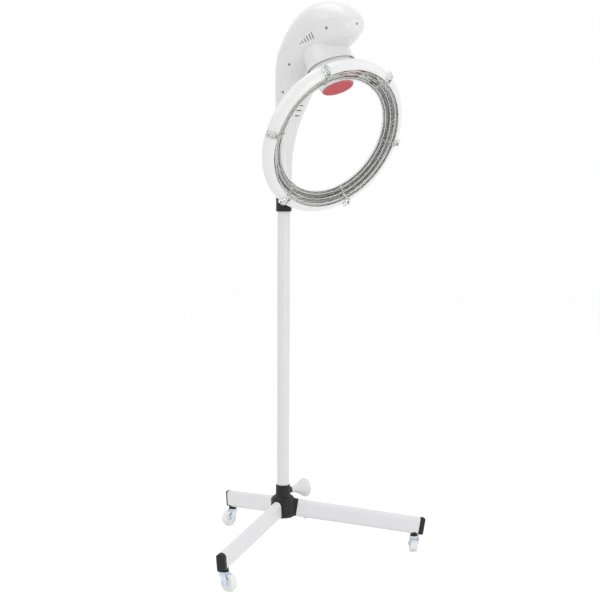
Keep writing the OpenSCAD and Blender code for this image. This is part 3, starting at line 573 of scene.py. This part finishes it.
def spline(points, steps):
    """Points along a smooth curve through the given ones."""
    out = []
    last = len(points) - 1
    for i in range(last):
        a, b, c, d = (points[max(0, min(last, k))] for k in (i - 1, i, i + 1, i + 2))
        for k in range(steps):
            f = k / steps
            out.append([0.5 * (2 * b[m]
                               + (c[m] - a[m]) * f
                               + (2 * a[m] - 5 * b[m] + 4 * c[m] - d[m]) * f * f
                               + (3 * b[m] - a[m] - 3 * c[m] + d[m]) * f ** 3) for m in range(3)])
    out.append(list(points[last]))
    return out


def channel_path(points, steps=8):
    """A smooth curve through (across, deep, angle) places in the ring's channel."""
    return [in_channel(*p) for p in spline(points, steps)]


def make_sleeves():
    """Four braided sleeves side by side along the gap, each a little wavy and uneven."""
    shape = Shape()
    for across, deep, size, phase in (
            (4.6, 11.0, 4.6, 0.0), (14.2, 10.6, 4.6, 1.3), (23.8, 10.4, 4.6, 2.6), (32.6, 9.8, 3.9, 4.1)):
        path = []
        for k in range(SLEEVE_STEPS + 1):
            sway = 0.7 * math.sin(k * 0.8 + phase)
            rise = 0.5 * math.cos(k * 1.1 + phase)
            path.append((across + sway, deep + rise, SLEEVE_START + SLEEVE_TURN * k / SLEEVE_STEPS))
        shape.sweep(channel_path(path, 4),
                    lambda f: size * MM * (1 + 0.05 * math.sin(31 * f + phase)), 14)
    shape.piece("glass_sleeves", SLEEVE, "ceramic")


# For each piece its material, its slot, its wires' depth in the channel, and the (across, angle) places that
# each wire runs through
WIRE_ROUTES = {
    "dark_wires": (WIRE_DARK, "wire_red", 2.3, (
        ((6, -107), (9.9, -103.9), (18, -99), (26.3, -95.1), (33.0, -90), (35.1, -86.5),
         (32.8, -80.3), (24, -79.2), (15.2, -78.0), (9, -76.8), (10.4, -73.5), (12.2, -70.2)),
        ((3.4, -98), (2.4, -92), (2.2, -86), (3.4, -81),
         (8, -77.9), (16, -74), (23, -69.5), (25.6, -65.2)))),
    "red_wires": (WIRE_RED, "wire_red", 3.7, (
        ((9, -104.5), (8.2, -99), (12, -94), (17, -89), (20.5, -84), (17, -80), (11, -78.8), (7, -75)),
        ((15, -102.5), (21, -98.2), (29, -93.4), (36.2, -87), (35.6, -82), (27, -80.8), (18.6, -79.6)))),
    "white_wires": (WIRE_WHITE, "ceramic", 5.0, (
        ((12.5, -103), (15, -96.5), (24, -90.5), (29, -84), (26, -76), (31, -70), (33.6, -64)),
        ((6, -101), (5, -95), (7, -88), (10, -82.5), (6, -78)))),
}


def make_gap_wires():
    """The loose wires over the sleeves. The red ones stand for the CAD's ring_wires."""
    for name, (material, slot, deep, paths) in WIRE_ROUTES.items():
        shape = Shape()
        for path in paths:
            shape.sweep(channel_path([(across, deep, angle) for across, angle in path]), WIRE_R * MM, 10)
        piece = shape.piece(name, material, slot)
        if name == "red_wires":
            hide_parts("ring_wires")


def squared(value):
    """A sine or cosine that turns a circle into a rounded oblong."""
    return math.copysign(abs(value) ** 0.6, value)


def make_terminals():
    """Black sleeves over the push-on terminals, tapered where the wire goes in."""
    sides = 20
    taper = ((0, 0.4), (0.04, 0.62), (0.18, 0.7), (0.26, 0.98),
             (0.55, 1.0), (0.9, 1.0), (0.97, 0.93), (1, 0.7))
    black, grey = Shape(), Shape()
    for shape, across, deep, start, end, width, depth in (
            (black, 12.4, 3.9, -71.0, -60.2, 2.5, 1.9), (black, 25.2, 3.9, -66.0, -52.6, 2.6, 2.0),
            (grey, 2.2, 5.6, -65.2, -57.4, 2.4, 1.8), (black, 34.6, 3.6, -62.6, -58.0, 1.7, 1.3)):
        rings = []
        for f, scale in taper:
            ring = []
            for k in range(sides):
                a = FULL_TURN * k / sides
                u = squared(math.cos(a)) * width * scale
                v = squared(math.sin(a)) * depth * scale
                ring.append(in_channel(across + u, deep + v, start + (end - start) * f))
            rings.append(ring)
        shape.loft(rings)
    black.piece("terminal_sleeves", TERMINAL, "black_plastic")
    grey.piece("terminal_tabs", ZINC, "zinc_steel")


make_sleeves()
make_gap_wires()
make_terminals()


# ---- Floor, light and camera ----

# Places in metres, lamps in watts and the camera's angles in radians. The camera was fitted to the photo.
WORLD_LIGHT = 0.78
WORLD_SEEN = 1.0
FLOOR_SIDES = 96
FLOOR_R = 9
FLOOR_Z = -0.0005
FLOOR_GLOW = 0.30
SOFTBOXES = (
    # name, place, aimed at, size, watts
    ("key", (-2.9, 0.5, 3.0), (0, -0.1, 1.0), (2.2, 2.2), 13),
    ("fill", (2.4, -2.6, 2.2), (0, 0, 0.8), (2.0, 2.4), 10),
    ("front", (-0.4, -3.6, 1.1), (0, -0.1, 1.1), (1.6, 1.8), 16),
    ("top", (0.2, 0.4, 4.0), (0, 0, 0), (2.4, 2.4), 20),
)
CAMERA_PLACE = (-2.823, -2.913, 1.118)
CAMERA_YAW = math.radians(45.9)
CAMERA_PITCH = 0.0923
CAMERA_ROLL = 0.003
CAMERA_LENS_MM = 85.32
CAMERA_SHIFT = 0.02743


def light_paths(tree):
    """1 where the camera, a mirror or glass sees the surface, and 0 for the light it gives."""
    path = tree.nodes.new("ShaderNodeLightPath")
    total = path.outputs["Is Camera Ray"]
    for name in ("Is Glossy Ray", "Is Transmission Ray"):
        node = tree.nodes.new("ShaderNodeMath")
        node.operation = "MAXIMUM"
        tree.links.new(total, node.inputs[0])
        tree.links.new(path.outputs[name], node.inputs[1])
        total = node.outputs[0]
    return total


def make_world():
    """White all round, a little dimmer as light than as seen."""
    world = bpy.data.worlds.new("studio")
    bpy.context.scene.world = world
    world.use_nodes = True
    tree = world.node_tree
    back = tree.nodes["Background"]
    back.inputs["Color"].default_value = (1, 1, 1, 1)
    strength = tree.nodes.new("ShaderNodeMapRange")
    tree.links.new(light_paths(tree), strength.inputs["Value"])
    strength.inputs["To Min"].default_value = WORLD_LIGHT
    strength.inputs["To Max"].default_value = WORLD_SEEN
    tree.links.new(strength.outputs["Result"], back.inputs["Strength"])


def make_floor():
    """A pale floor that takes shadows and looks nearly as white as the world behind it."""
    bpy.ops.mesh.primitive_circle_add(vertices=FLOOR_SIDES, radius=FLOOR_R, fill_type="NGON",
                                      location=(0, 0, FLOOR_Z))
    floor = bpy.context.object
    floor.name = "floor"
    mat = bpy.data.materials.new("floor")
    mat.use_nodes = True
    tree = mat.node_tree
    shader = tree.nodes["Principled BSDF"]
    shader.inputs["Base Color"].default_value = (0.86, 0.86, 0.86, 1)
    shader.inputs["Roughness"].default_value = 0.8
    shader.inputs["Specular IOR Level"].default_value = 0.1
    glow = tree.nodes.new("ShaderNodeEmission")
    strength = tree.nodes.new("ShaderNodeMath")
    strength.operation = "MULTIPLY"
    tree.links.new(light_paths(tree), strength.inputs[0])
    strength.inputs[1].default_value = FLOOR_GLOW
    tree.links.new(strength.outputs[0], glow.inputs["Strength"])
    both = tree.nodes.new("ShaderNodeAddShader")
    tree.links.new(shader.outputs[0], both.inputs[0])
    tree.links.new(glow.outputs[0], both.inputs[1])
    tree.links.new(both.outputs[0], tree.nodes["Material Output"].inputs["Surface"])
    floor.data.materials.append(mat)


def softbox(name, place, target, size, watts):
    """A rectangular lamp at place that faces target."""
    data = bpy.data.lights.new(name, "AREA")
    data.shape = "RECTANGLE"
    data.size, data.size_y = size
    data.energy = watts
    lamp = bpy.data.objects.new(name, data)
    bpy.context.scene.collection.objects.link(lamp)
    lamp.location = place
    lamp.rotation_mode = "QUATERNION"
    lamp.rotation_quaternion = (Vector(place) - Vector(target)).to_track_quat("Z", "Y")


def make_camera():
    """The photo's camera."""
    yaw, pitch, roll = CAMERA_YAW, CAMERA_PITCH, CAMERA_ROLL
    forward = Vector((math.cos(yaw) * math.cos(pitch), math.sin(yaw) * math.cos(pitch), -math.sin(pitch)))
    side = Vector((math.sin(yaw), -math.cos(yaw), 0))
    up = side.cross(forward)
    right = side * math.cos(roll) + up * math.sin(roll)
    top = up * math.cos(roll) - side * math.sin(roll)
    data = bpy.data.cameras.new("camera")
    data.sensor_width = 36
    data.lens = CAMERA_LENS_MM
    data.shift_x = CAMERA_SHIFT
    data.clip_start, data.clip_end = 0.05, 60
    cam = bpy.data.objects.new("camera", data)
    bpy.context.scene.collection.objects.link(cam)
    rows = [[right[i], top[i], -forward[i], p] for i, p in enumerate(CAMERA_PLACE)]
    cam.matrix_world = Matrix(rows + [[0, 0, 0, 1]])
    bpy.context.scene.camera = cam


make_world()
make_floor()
for name, place, target, size, watts in SOFTBOXES:
    softbox(name, place, target, size, watts)
make_camera()
bpy.context.scene.view_settings.view_transform = "Standard"
